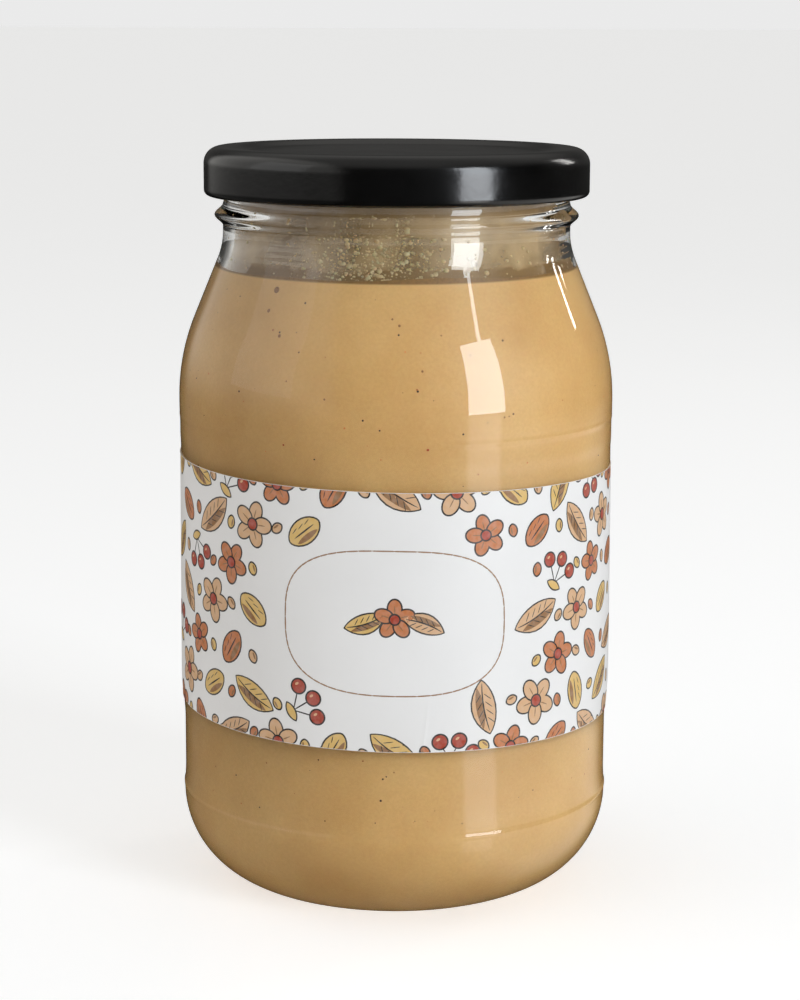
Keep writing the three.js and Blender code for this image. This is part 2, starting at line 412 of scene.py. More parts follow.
def butter_material(look):
    """Smooth peanut butter: tan, slightly let into by light, with soft patches and a fine grain."""
    material, nodes, shader = new_material(
        "peanut_butter", Roughness=0.45, Specular_IOR_Level=0.35, Subsurface_Weight=0.25,
        Subsurface_Scale=0.003, Subsurface_Radius=(1.0, 0.55, 0.25)
    )
    base = nodes.blend(mottle(nodes, 45.0, 4.0, 0.0, 1.0), (*look.tint_dark, 1), (*look.tint, 1))
    # The top turns oily brown: oil, and painted shade for the lid's shadow on it.
    oil_and_shade_top = nodes.ramp(nodes.height(), look.level - 0.5 * MM, look.level - 0.1 * MM)
    base = nodes.blend(oil_and_shade_top, base, (*look.oil_and_shade_tint, 1))
    nodes.fill(
        shader,
        Base_Color=nodes.blend(mottle(nodes, 1500.0, 2.0, 0.0, 0.22), base, (*look.tint_grain, 1)),
        Normal=relief(nodes, 260.0, 4.0, 0.00012),
    )
    return material


def speck_material():
    """Bits of skin and tiny bubbles against the glass, each with its own colour."""
    material, nodes, shader = new_material("butter_speck", Roughness=0.5)
    ink = nodes.add("ShaderNodeAttribute", attribute_name="ink")
    shade = mottle(nodes, 2500.0, 2.0, 0.0, 0.35)
    nodes.put(shader.inputs["Base Color"], nodes.blend(shade, ink.outputs["Color"], (0.08, 0.04, 0.02, 1)))
    return material


def film_material(look):
    """Film on the glass above the contents: milky and patchy, streaked, with a dark brown line of painted
    shade just above the level whose upper edge wavers, and browner and denser from the bead up."""
    material, nodes, shader = new_material("oily_film", Roughness=0.4)
    place = nodes.add("ShaderNodeTexCoord").outputs["Object"]
    stretch = nodes.add("ShaderNodeMapping", Vector=place, Scale=(1.0, 1.0, 0.3))
    streak = nodes.add("ShaderNodeTexNoise", Vector=stretch.outputs[0], Scale=160.0, Detail=5.0)
    patches = mottle(nodes, 110.0, 5.0, 0.0, 1.0)
    # Painted shade: a dark brown line just above the level, for the shaded top of the contents seen through
    # the glass.
    wavering = nodes.maths("ADD", nodes.height(), mottle(nodes, 260.0, 3.0, 0.0, 0.0014))
    line = nodes.ramp(wavering, look.level + 3.6 * MM, look.level + 2.6 * MM)
    upper = nodes.ramp(nodes.height(), BEAD_HEIGHT - BEAD_HALF, BEAD_HEIGHT + BEAD_HALF)
    tone = nodes.blend(patches, (*look.film_tint, 1), (*look.film_pale, 1))
    # brown holds the painted shade line and, at 0.85, the band from the bead up.
    brown = nodes.maths("MAXIMUM", line, nodes.maths("MULTIPLY", upper, 0.85))
    amount = 0.22
    for part, share in ((patches, 0.28), (brown, 0.42), (streak.outputs["Fac"], 0.35)):
        amount = nodes.maths("ADD", nodes.maths("MULTIPLY", part, share), amount)
    nodes.fill(
        shader,
        Base_Color=nodes.blend(brown, tone, (*look.oil_and_shade_tint, 1)),
        Alpha=nodes.maths("MINIMUM", amount, 0.93),
        Normal=relief(nodes, 900.0, 3.0, 0.00005),
    )
    return material


def drop_material(look):
    """Small drops and bubbles in the film: translucent, a little paler than the film."""
    material, nodes, shader = new_material(
        "butter_drops", Roughness=0.3, Subsurface_Weight=0.4, Subsurface_Scale=0.002
    )
    shade = mottle(nodes, 700.0, 2.0, 0.0, 1.0)
    nodes.fill(
        shader,
        Base_Color=nodes.blend(shade, (*look.drop_tint, 1), (*look.film_pale, 1)),
        Alpha=mottle(nodes, 420.0, 2.0, 0.6, 1.0),
    )
    return material


def lacquer_material(look):
    """Black lacquer on sheet steel: deep, glossy, with a faint orange peel and a few dull patches."""
    material, nodes, shader = new_material(
        "black_lacquer", Specular_IOR_Level=0.5, Coat_Weight=0.15, Coat_Roughness=0.08
    )
    wear = mottle(nodes, 60.0, 4.0, 0.0, 1.0)
    dusty = tuple(value + 0.004 for value in look.tint)
    nodes.fill(
        shader,
        Base_Color=nodes.blend(wear, (*look.tint, 1), (*dusty, 1)),
        Roughness=mottle(nodes, 90.0, 5.0, look.roughness, look.roughness + 0.08),
        Normal=relief(nodes, 700.0, 2.0, 0.00002),
    )
    return material


def paper_shader(name, roughness):
    """The start of both label materials: coated paper with faint fibres in its relief."""
    material, nodes, shader = new_material(name, Specular_IOR_Level=0.4, Coat_Weight=0.12, Coat_Roughness=0.3)
    nodes.fill(
        shader,
        Roughness=mottle(nodes, 120.0, 4.0, roughness, roughness + 0.12),
        Normal=relief(nodes, 900.0, 5.0, 0.00003),
    )
    return material, nodes, shader


def paper_material(look):
    """White label paper with a very slight cloudiness."""
    material, nodes, shader = paper_shader("label_paper", 0.42)
    cloud = mottle(nodes, 40.0, 5.0, 0.0, 1.0)
    dull = tuple(value * 0.965 for value in look.paper)
    nodes.put(shader.inputs["Base Color"], nodes.blend(cloud, (*look.paper, 1), (*dull, 1)))
    return material


def ink_material(look):
    """Printing ink on the paper, in the colour that each shape carries, a little uneven."""
    material, nodes, shader = paper_shader("label_ink", 0.38)
    ink = nodes.add("ShaderNodeAttribute", attribute_name="ink")
    wash = mottle(nodes, 800.0, 4.0, 0.0, 0.12)
    nodes.put(shader.inputs["Base Color"], nodes.blend(wash, ink.outputs["Color"], (*look.paper, 1)))
    return material


def glass_profile(wall):
    """The glass from the middle of its base, up the outside, over the rim and down to its floor."""
    punt = arc_points(0, 0, PUNT_RADIUS, PUNT_DEPTH, 90, 0, 12)
    heel = arc_points(HEEL_RADIUS - HEEL_WIDTH, HEEL_HEIGHT, HEEL_WIDTH, HEEL_HEIGHT, -90, -6, 26)
    heights = np.concatenate([
        np.linspace(HEEL_HEIGHT, 24 * MM, 16),
        np.linspace(25, 50, 26) * MM,
        np.linspace(55, 95, 9) * MM,
        np.linspace(98, 105, 10) * MM,
        np.linspace(105.5, 108.5, 12) * MM,
        np.linspace(109 * MM, SHOULDER_TOP, 54),
    ])
    body = np.column_stack([body_radius(heights), heights])
    turn = np.linspace(-1, 1, 18)
    bead = np.column_stack([
        NECK_RADIUS + BEAD_DEPTH * np.cos(turn * math.pi / 2) ** 2,
        BEAD_HEIGHT + BEAD_HALF * turn,
    ])
    mouth = NECK_RADIUS - wall
    rim_low = GLASS_TOP - RIM_ROUND
    finish = np.linspace([FINISH_RADIUS, FINISH_BOTTOM], [FINISH_RADIUS, rim_low - RIM_ROUND], 4)
    rim_out = arc_points(FINISH_RADIUS - RIM_ROUND, rim_low, RIM_ROUND, RIM_ROUND, 0, 90, 6)
    rim_in = arc_points(mouth + RIM_ROUND, rim_low, RIM_ROUND, RIM_ROUND, 90, 180, 6)
    inside = inner_profile(wall, 0.0, rim_low - RIM_ROUND)[::-1]
    return np.vstack([punt, heel, body, bead, finish, rim_out, rim_in, inside])


def inner_profile(wall, reach, top):
    """The inside of the glass from the middle of its floor up to a height, moved out by a reach."""
    floor = BUTTER_FLOOR - reach
    width = HEEL_WIDTH - wall
    edge = HEEL_RADIUS - wall + reach
    heel = arc_points(edge - width, HEEL_HEIGHT, width, HEEL_HEIGHT - floor, -90, -5, 20)
    heights = np.concatenate([np.linspace(HEEL_HEIGHT, 100 * MM, 24), np.linspace(102 * MM, top, 44)])
    side = np.column_stack([inner_radius(heights, wall) + reach, heights])
    return np.vstack([[0, floor], heel, side])


def butter_top(x, y, level, edge):
    """Height of the contents: slow swells from sines of x and y, dying out at the edge, and a low
    rim that creeps up the glass as the exponential of the distance to it."""
    out = np.hypot(x, y) / edge
    a, b = x / MM, y / MM
    swell = np.sin(0.11 * a + 0.5) * np.cos(0.09 * b - 0.4) + 0.6 * np.sin(0.15 * b + 0.07 * a)
    ripple = 0.35 * np.sin(0.42 * a - 0.3 * b) * np.sin(0.37 * b + 1.2)
    turn = np.arctan2(x, -y)
    creep = (0.45 + 0.3 * np.sin(3 * turn + 0.8) + 0.25 * np.sin(7 * turn)) * np.exp(-(1 - out) * 22)
    return level + (0.45 * (swell + ripple) * np.clip(1 - out**4, 0, 1) + creep) * MM


def lid_profile():
    """The lid's outside from the middle of its sunken panel to its rolled edge, then its inside."""
    sheet, corner, curl, curl_width = 0.4 * MM, 3.6 * MM, 1.3 * MM, 2.3 * MM
    panel_radius, rim_radius, panel_depth = 33.2 * MM, 36.6 * MM, 1.1 * MM
    panel = LID_TOP - panel_depth
    step = np.linspace(0, 1, 10)
    ease = step**2 * (3 - 2 * step)
    run = rim_radius - panel_radius
    rise = np.column_stack([panel_radius + run * step, panel + panel_depth * ease])
    flat = np.linspace([0, panel], [panel_radius - 0.4 * MM, panel], 16)
    shoulder = arc_points(LID_RADIUS - corner, LID_TOP - corner, corner, corner, 88, 0, 14)
    skirt_top, skirt_bottom = LID_TOP - corner - 0.4 * MM, LID_BOTTOM + curl + 0.3 * MM
    skirt = np.linspace([LID_RADIUS, skirt_top], [LID_RADIUS, skirt_bottom], 6)
    edge = arc_points(LID_RADIUS - curl, LID_BOTTOM + curl, curl, curl, 0, -90, 8)
    inner_edge = [
        [LID_RADIUS - curl_width, LID_BOTTOM + 0.3 * MM],
        [LID_RADIUS - curl_width, LID_BOTTOM + 1.4 * MM],
        [LID_RADIUS - sheet - 0.6 * MM, LID_BOTTOM + 2 * MM],
        [LID_RADIUS - sheet, LID_BOTTOM + 2.9 * MM],
    ]
    under_round = arc_points(LID_RADIUS - corner, LID_TOP - corner, corner - sheet, corner - sheet, 0, 88, 8)
    under_rise = rise[::-1] - [0, sheet]
    under_flat = np.array([[panel_radius * 0.5, panel - sheet], [0, panel - sheet]])
    return np.vstack([flat, rise, shoulder, skirt, edge, inner_edge, under_round, under_rise, under_flat])


def label_lift(along, up):
    """How far the paper stands off: a small crease near the foot, and edges that lift a hair."""
    crease = np.exp(-(((along - 6 * MM - 0.1 * up) / (0.35 * MM)) ** 2)) * np.clip(1 - up / (13 * MM), 0, 1)
    edge = np.minimum(up, LABEL_HEIGHT - up)
    curl = np.exp(-edge / (0.5 * MM)) * (0.04 + 0.03 * np.sin(along / (7 * MM)))
    wave = 0.025 * np.sin(along / (9 * MM) + 0.7) * np.sin(up / (14 * MM))
    return (0.10 * crease + curl + wave) * MM


def on_label(along, up, lift):
    """A place on the label: distance along it from the front, distance up from its lower edge, and
    height above the glass. The angle is the distance over the radius, and the sheet climbs with it."""
    turn = along / HEEL_RADIUS
    z = LABEL_BOTTOM + up + LABEL_CLIMB * along
    r = body_radius(z) + LABEL_GAP + label_lift(along, up) + lift
    return np.stack([r * np.sin(turn), -r * np.cos(turn), z], axis=-1)


class Print:
    """Collects printed shapes, each a leaf-like patch on the label with its own ink and layer."""

    def __init__(self):
        self.points, self.faces, self.inks = [], [], []
        self.count = 0

    def patch(self, centre, angle, length, width, ink, layer, power=0.5, bend=0.0, steps=12):
        """A patch whose half width is the full one times (1 - s squared) to a power, for s along its
        length from -1 to 1, bent sideways by bend times s squared. Power 0.5 is an ellipse, and 1 or
        more a pointed leaf."""
        across = 4 if width > 0.8 * MM else 2
        s = np.sin(np.linspace(-math.pi / 2, math.pi / 2, steps + 1))[:, None]
        t = np.linspace(-1, 1, across + 1)[None, :]
        half = np.maximum(1 - s**2, 0) ** power * width / 2 + 0.004 * MM
        along = s * length / 2 + 0 * t
        side = t * half + bend * (s**2 - 0.4)
        c, d = math.cos(angle), math.sin(angle)
        u = centre[0] + along * c - side * d
        v = centre[1] + along * d + side * c
        inside = np.clip(v, 0.1 * MM, LABEL_HEIGHT - 0.1 * MM)
        cut = (inside != v).ravel()
        lift = PAPER + INK_LIFT + INK_STEP * layer
        self.points.append(on_label(u, inside, lift).reshape(-1, 3))
        quads = grid_quads(steps + 1, across + 1)[:, ::-1]
        self.faces.append(quads[~cut[quads].all(axis=1)] + self.count)
        self.count += (steps + 1) * (across + 1)
        self.inks.append(np.tile(INK[ink], ((steps + 1) * (across + 1), 1)))

    def outlined(self, centre, angle, length, width, ink, layer, power=0.5, bend=0.0):
        """A patch with a dark line round it."""
        self.patch(centre, angle, length + 1.6 * OUTLINE, width + 1.5 * OUTLINE, "line", layer, power, bend)
        self.patch(centre, angle, length, width, ink, layer + 1, power, bend)


def turned(centre, angle, along, side):
    """A place given along and beside a motif's own direction."""
    c, d = math.cos(angle), math.sin(angle)
    return centre[0] + along * c - side * d, centre[1] + along * d + side * c


def leaf(sheet, centre, angle, size, ink):
    """A pointed leaf with a darker half, a midrib and slanting veins."""
    length, width = 9.2 * MM * size, 4.1 * MM * size
    sheet.outlined(centre, angle, length, width, ink, 0, power=0.85, bend=0.5 * MM)
    beside = turned(centre, angle, 0, -0.8 * MM * size)
    sheet.patch(beside, angle, length * 0.78, width * 0.34, "shade", 2, 0.8)
    sheet.patch(centre, angle, length * 0.92, 0.32 * MM, "line", 3, 0.4, bend=0.5 * MM)
    for place in (-0.5, -0.2, 0.1, 0.4):
        for way in (-1, 1):
            spot = turned(centre, angle, (place * 0.5 + 0.06) * length, way * width * 0.2)
            sheet.patch(spot, angle + way * 0.75, width * 0.42, 0.2 * MM, "line", 3, 0.5, steps=4)


def blossom(sheet, centre, angle, size, ink):
    """Five rounded petals about a red heart."""
    reach = 2.35 * MM * size
    for k in range(5):
        way = angle + k * 2 * math.pi / 5
        sheet.outlined(turned(centre, way, reach, 0), way, 3.7 * MM * size, 2.7 * MM * size, ink, k % 2 * 2)
    for k in range(5):
        way = angle + k * 2 * math.pi / 5
        spot = turned(centre, way, reach * 0.85, 0)
        sheet.patch(spot, way, 1.9 * MM * size, 0.26 * MM, "shade", 5, 0.6, steps=5)
    sheet.outlined(centre, angle, 1.9 * MM * size, 1.9 * MM * size, "red", 6)


def berries(sheet, centre, angle, size, ink):
    """Three round berries on short stems that meet at a small leaf."""
    joint = turned(centre, angle, -2.6 * MM * size, 0)
    for way in (-0.75, 0.0, 0.75):
        middle = turned(joint, angle + way, 2.3 * MM * size, 0)
        sheet.patch(middle, angle + way, 4.4 * MM * size, 0.3 * MM, "line", 0, 0.4, steps=6)
    for way in (-0.75, 0.0, 0.75):
        spot = turned(joint, angle + way, 4.7 * MM * size, 0)
        sheet.outlined(spot, angle, 2.5 * MM * size, 2.5 * MM * size, ink, 2)
        light = turned(spot, 2.2, 0.55 * MM * size, 0)
        sheet.patch(light, 0.6, 0.8 * MM * size, 0.45 * MM * size, "sand", 4, steps=5)
    foot = turned(joint, angle, -0.6 * MM, 0)
    sheet.outlined(foot, angle + 1.5, 3.4 * MM * size, 1.4 * MM * size, "ochre", 2, 0.8)


def grain(sheet, centre, angle, size, ink):
    """A plump grain with a groove down its middle and short strokes beside it."""
    length, width = 5.4 * MM * size, 3.3 * MM * size
    sheet.outlined(centre, angle, length, width, ink, 0, power=0.6)
    sheet.patch(turned(centre, angle, 0, -width * 0.27), angle, length * 0.7, width * 0.25, "shade", 2, 0.7)
    sheet.patch(centre, angle, length * 0.7, 0.34 * MM, "line", 3, 0.6, steps=6)
    for place in (-0.22, 0.0, 0.22):
        spot = turned(centre, angle, place * length, width * 0.26)
        sheet.patch(spot, angle + 0.25, width * 0.34, 0.18 * MM, "line", 3, 0.5, steps=4)


def bud(sheet, centre, angle, size, ink):
    """A small round bud with a point of shade."""
    sheet.outlined(centre, angle, 2.5 * MM * size, 1.8 * MM * size, ink, 0, power=0.6)
    beside = turned(centre, angle, 0, -0.4 * MM * size)
    sheet.patch(beside, angle, 1.6 * MM * size, 0.45 * MM * size, "shade", 2)


# What the rows of the pattern hold in turn: motif, ink and size.
MOTIFS = [
    (leaf, "ochre", 1.32), (blossom, "sand", 1.2), (grain, "rust", 1.45),
    (berries, "red", 1.22), (grain, "ochre", 1.5), (leaf, "sand", 1.35), (blossom, "rust", 1.08),
]


def print_design(look):
    """Rows of motifs in turn, each row shifted by half a step and with buds between, round a plain
    field with a line about it and a small spray in its middle."""
    sheet = Print()
    draw = np.random.default_rng(11)
    row_step = LABEL_HEIGHT / MOTIF_ROWS
    middle = LABEL_HEIGHT / 2
    columns = int(look.field_half / look.pitch)
    for row in range(MOTIF_ROWS + 1):
        for column in range(-columns, columns + 1):
            u = (column + 0.5 * (row % 2)) * look.pitch
            v = row * row_step
            turn = draw.uniform(-0.5, 0.5) + (0.9 if (row + column) % 2 else -0.9)
            size = draw.uniform(0.93, 1.05)
            if in_field(u, v, look):
                motif, ink, scale = MOTIFS[(column * 3 + row * 2) % len(MOTIFS)]
                motif(sheet, (u, v), turn, size * scale, ink)
            if in_field(u + look.pitch / 2, v, look):
                ink = ("rust", "ochre", "sand")[(column + row) % 3]
                bud(sheet, (u + look.pitch / 2, v + draw.uniform(-1, 1) * MM), turn * 2, size, ink)
    for place in np.linspace(0, 2 * math.pi, 64, endpoint=False):
        u, v = oval(place, look.blank_half * 0.80, look.blank_half * 0.52)
        after = oval(place + 0.1, look.blank_half * 0.80, look.blank_half * 0.52)
        way = math.atan2(after[1] - v, after[0] - u)
        step = math.hypot(after[0] - u, after[1] - v)
        spot = ((u + after[0]) / 2, middle + (v + after[1]) / 2)
        sheet.patch(spot, way, step * 1.15, 0.3 * MM, "shade", 0, 0.2, steps=4)
    leaf(sheet, (-6.2 * MM, middle), 0.35, 0.95, "ochre")
    leaf(sheet, (6.2 * MM, middle), math.pi - 0.35, 0.95, "sand")
    blossom(sheet, (0, middle + 1.0 * MM), math.pi / 2, 1.0, "rust")
    return sheet


def in_field(u, v, look):
    """Whether a place is in the printed field and out of the plain middle, a rounded rectangle."""
    across = abs(u / look.blank_half)
    up = abs((v - LABEL_HEIGHT / 2) / (look.blank_half * 0.69))
    return across**3 + up**3 > 1 and abs(u) < look.field_half


def oval(place, half_width, half_height):
    """A point of the rounded frame: cosine and sine, each drawn out towards the corners."""
    c, s = math.cos(place), math.sin(place)
    return half_width * math.copysign(abs(c) ** 0.7, c), half_height * math.copysign(abs(s) ** 0.7, s)


def blobs(places, sizes, depths, lift, wall, squash=1.0):
    """Small rounded lumps on the inside of the glass: ellipsoids, wide along the wall and shallow
    across it. places holds angle and height, and lift moves the middle inwards."""
    ring, rise = 10, 5
    a = np.linspace(0, 2 * math.pi, ring, endpoint=False)
    b = np.linspace(0, math.pi, rise + 2)[1:-1]
    side = np.sin(b)[:, None] * np.cos(a)
    up = np.sin(b)[:, None] * np.sin(a)
    inward = np.cos(b)[:, None] + 0 * a
    shape = np.stack([side.ravel(), up.ravel(), inward.ravel()], axis=-1)
    shape = np.vstack([[0, 0, 1], shape, [0, 0, -1]])
    angle, height = places[:, :1], places[:, 1:]
    z = height + shape[:, 1] * sizes[:, None] * squash
    r = inner_radius(z, wall) - lift - shape[:, 2] * depths[:, None]
    turn = angle + shape[:, 0] * sizes[:, None] / inner_radius(height, wall)
    points = np.stack([r * np.sin(turn), -r * np.cos(turn), z], axis=-1)
    offset = (np.arange(len(places)) * len(shape))[:, None, None]
    faces = [(face[None] + offset).reshape(-1, face.shape[1]) for face in closed_rings(rise, ring)]
    points = points.reshape(-1, 3)
    return points, outward(points, faces)


def size_property(name, description, value):
    """A length among the looks."""
    return FloatProperty(name=name, description=description, default=value, unit="LENGTH")


def power_property(name, description, value):
    """A light's power among the looks."""
    return FloatProperty(name=name, description=description, default=value, unit="POWER")


def colour_property(name, description, value):
    """A linear colour among the looks."""
    return FloatVectorProperty(name=name, description=description, default=value, subtype="COLOR")


class GlassLook(bpy.types.PropertyGroup):
    """Sizes and tint of the glass."""

    wall: size_property("Wall", "Thickness of the wall", 2.6 * MM)
    ripple: size_property("Ripple", "Unevenness of the blown surface", 0.03 * MM)
    sides: IntProperty(name="Sides", description="Facets round the jar", default=256)
    tint: colour_property("Tint", "Colour of the glass", (0.97, 0.972, 0.955))


class ButterLook(bpy.types.PropertyGroup):
    """Level and colours of the contents."""

    level: size_property("Level", "Height of the top", 139.5 * MM)
    reach: size_property("Reach", "How far it reaches into the wall", 0.05 * MM)
    specks: IntProperty(name="Specks", description="Fine specks against the glass", default=420)
    drops: IntProperty(name="Drops", description="Drops in the film above the level", default=1100)
    tint: colour_property("Tint", "Main colour", colour(219, 181, 121))
    tint_dark: colour_property("Dark tint", "Colour of its darker patches", colour(203, 161, 101))
    tint_grain: colour_property("Grain", "Colour of its finest grain", colour(186, 140, 84))
    # Oily brown of the top, with painted shade for the lid's shadow in it; the film's painted shade line uses
    # it too.
    oil_and_shade_tint: colour_property("Oil and shade", "Colour of the oily top", colour(122, 92, 50))
    film_pale: colour_property("Pale film", "Colour of its milky patches", colour(192, 163, 121))
    drop_tint: colour_property("Drop tint", "Colour of the drops in the film", colour(212, 186, 146))
    film_tint: colour_property("Film", "Colour of the film above the level", colour(148, 118, 77))


class LidLook(bpy.types.PropertyGroup):
    """Finish of the lid."""

    sides: IntProperty(name="Sides", description="Facets round the lid", default=256)
    roughness: FloatProperty(name="Roughness", description="Roughness of the lacquer", default=0.14)
    tint: colour_property("Tint", "Colour of the lacquer", (0.0014, 0.0013, 0.0012))


class LabelLook(bpy.types.PropertyGroup):
    """Paper and layout of the label."""

    pitch: size_property("Pitch", "Step between motifs", 13.0 * MM)
    field_half: size_property("Field", "Half the width of the printed field", 68 * MM)
    blank_half: size_property("Blank", "Half the width of the plain middle", 30 * MM)
    paper: colour_property("Paper", "Colour of the paper", colour(238, 236, 234))


class StageLook(bpy.types.PropertyGroup):
    """Strength of the lights and colour of the floor."""

    window: power_property("Window", "Power of the tall window light", 9.0)
    side: power_property("Side", "Power of the two narrow side lights", 1.2)
    fill: power_property("Fill", "Power of the soft light on the left", 2.0)
    floor: colour_property("Floor", "Colour of the floor", (0.84, 0.845, 0.85))


class JarOperator:
    """What every builder here shares."""

    bl_options = {"REGISTER", "UNDO"}

    def execute(self, context):
        """Blender's call: builds the piece in the scene."""
        self.build(context.scene)
        return {"FINISHED"}


class JAR_OT_glass(JarOperator, bpy.types.Operator):
    """Blow the glass jar"""

    bl_idname = "jar.glass"
    bl_label = "Glass"

    def build(self, scene):
        look = scene.jar_glass

        def swell(angle, height):
            """Slow unevenness of the glass: two low waves round it that drift with height."""
            z = height / MM
            slow = np.sin(3 * angle + 0.05 * z) * np.sin(0.06 * z)
            return look.ripple * (slow + 0.4 * np.sin(7 * angle - 0.11 * z))

        profile = glass_profile(look.wall)
        points, faces = revolve(profile, look.sides, swell)
        piece = new_piece("jar_glass", points, faces, glass_material(look))
        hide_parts("glass_jar")


class JAR_OT_butter(JarOperator, bpy.types.Operator):
    """Fill the jar with peanut butter"""

    bl_idname = "jar.butter"
    bl_label = "Peanut butter"

    def build(self, scene):
        look, glass = scene.jar_butter, scene.jar_glass
        side = inner_profile(glass.wall, look.reach, look.level)
        edge = side[-1, 0]
        top = np.column_stack([edge * (1 - np.linspace(0, 1, 40)[1:] ** 1.4), np.full(39, look.level)])
        points, faces = revolve(np.vstack([side, top]), glass.sides)
        on_top = points[:, 2] > look.level - 0.01 * MM
        points[on_top, 2] = butter_top(points[on_top, 0], points[on_top, 1], look.level, edge)
        piece = new_piece("butter_fill", points, faces, butter_material(look))
        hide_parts("peanut_butter")


class JAR_OT_specks(JarOperator, bpy.types.Operator):
    """Scatter bits of skin against the glass"""

    bl_idname = "jar.specks"
    bl_label = "Specks"

    def build(self, scene):
        look, glass = scene.jar_butter, scene.jar_glass
        draw = np.random.default_rng(5)
        angle = draw.uniform(-math.pi, math.pi, look.specks)
        height = draw.uniform(24, 137, look.specks) * MM
        size = draw.uniform(0.08, 0.22, look.specks) * MM
        tones = np.array([INK["shade"], INK["line"], INK["rust"]])
        inks = tones[draw.integers(0, 3, look.specks)] * draw.uniform(0.7, 1.4, (look.specks, 1))
        marks = np.array([mark[:3] for mark in MARKS])
        angle = np.concatenate([angle, np.radians(marks[:, 0])])
        height = np.concatenate([height, marks[:, 1] * MM])
        size = np.concatenate([size, marks[:, 2] * MM / 1.6])
        inks = np.vstack([inks, [INK[mark[3]] for mark in MARKS]])
        depth = np.full(len(size), 0.05 * MM)
        points, faces = blobs(np.column_stack([angle, height]), size, depth, -look.reach, glass.wall)
        inks = np.repeat(inks, len(points) // len(size), axis=0)
        piece = new_piece("butter_specks", points, faces, speck_material(), inks=inks)


class JAR_OT_headspace(JarOperator, bpy.types.Operator):
    """Soil the glass above the contents with film and drops"""

    bl_idname = "jar.headspace"
    bl_label = "Film and drops"

    def build(self, scene):
        look, glass = scene.jar_butter, scene.jar_glass
        z = np.linspace(look.level, LID_BOTTOM + 3 * MM, 30)
        wall = inner_radius(np.minimum(z, SHOULDER_TOP), glass.wall)
        outer = np.column_stack([wall - FILM_OUT, z])
        inner = np.column_stack([wall - FILM_IN, z])
        points, faces = tube_band(outer, inner, glass.sides)
        film = new_piece("oily_film", points, faces, film_material(look))
        draw = np.random.default_rng(23)
        crowd = look.drops * 2 // 3
        angle = np.concatenate([
            draw.normal(CROWD_MIDDLE, CROWD_SPREAD, crowd),
            draw.uniform(-math.pi, math.pi, look.drops - crowd),
        ])
        height = look.level + 0.4 * MM + draw.beta(1.1, 1.9, look.drops) * DROP_RISE
        size = draw.gamma(1.8, 0.10, look.drops).clip(0.08, 0.62) * MM
        points, faces = blobs(
            np.column_stack([angle, height]), size, size * 0.35 + 0.04 * MM, 0.0, glass.wall, squash=0.85
        )
        drops = new_piece("butter_drops", points, faces, drop_material(look))


class JAR_OT_lid(JarOperator, bpy.types.Operator):
    """Press the lid"""

    bl_idname = "jar.lid"
    bl_label = "Lid"

    def build(self, scene):
        look = scene.jar_lid
        points, faces = revolve(lid_profile(), look.sides)
        piece = new_piece("steel_lid", points, faces, lacquer_material(look), smooth_angle=60)
        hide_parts("lid")


class JAR_OT_label(JarOperator, bpy.types.Operator):
    """Wrap the paper label round the jar"""

    bl_idname = "jar.label"
    bl_label = "Label paper"

    def build(self, scene):
        look = scene.jar_label
        half = HEEL_RADIUS * LABEL_HALF_TURN
        fine = np.linspace(4, 9, 41) * MM
        along = np.unique(np.concatenate([np.linspace(-half, half, 280), fine]))
        edge = np.array([0, 0.2, 0.5, 1.0]) * MM
        up = np.concatenate([edge, np.linspace(2 * MM, LABEL_HEIGHT - 2 * MM, 44), LABEL_HEIGHT - edge[::-1]])
        u, v = np.meshgrid(along, up, indexing="ij")
        sheets = [on_label(u, v, PAPER), on_label(u, v, 0.0)]
        points = np.concatenate([side.reshape(-1, 3) for side in sheets])
        rows, columns = u.shape
        count = rows * columns
        index = np.arange(count).reshape(rows, columns)
        outside = grid_quads(rows, columns)
        inside = outside[:, ::-1] + count
        loop = np.concatenate([index[:, 0], index[-1, 1:], index[-2::-1, -1], index[0, -2:0:-1]])
        after = np.roll(loop, -1)
        border = np.column_stack([loop, loop + count, after + count, after])
        faces = outward(points, [outside, inside, border])
        piece = new_piece("label_paper", points, faces, paper_material(look), smooth_angle=40)
        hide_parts("label")


class JAR_OT_print(JarOperator, bpy.types.Operator):
    """Print the label's pattern"""

    bl_idname = "jar.print"
    bl_label = "Label print"

    def build(self, scene):
        look = scene.jar_label
        sheet = print_design(look)
        points = np.concatenate(sheet.points)
        faces = [np.concatenate(sheet.faces)]
        piece = new_piece("label_print", points, faces, ink_material(look), inks=np.concatenate(sheet.inks))


def area_light(name, place, target, width, height, power, tint):
    """A rectangular soft light at a place, turned to a target, that the camera itself doesn't see."""
    light = bpy.data.lights.new(name, "AREA")
    light.shape = "RECTANGLE"
    light.size, light.size_y = width, height
    light.energy = power
    light.color = tint
    lamp = bpy.data.objects.new(name, light)
    lamp.location = place
    way = Vector(target) - Vector(place)
    lamp.rotation_euler = way.to_track_quat("-Z", "Y").to_euler()
    lamp.visible_camera = False
    bpy.context.scene.collection.objects.link(lamp)


def around(azimuth, distance, height):
    """A place round the jar: azimuth in degrees from the front, positive to the right."""
    turn = math.radians(azimuth)
    return distance * math.sin(turn), -distance * math.cos(turn), height


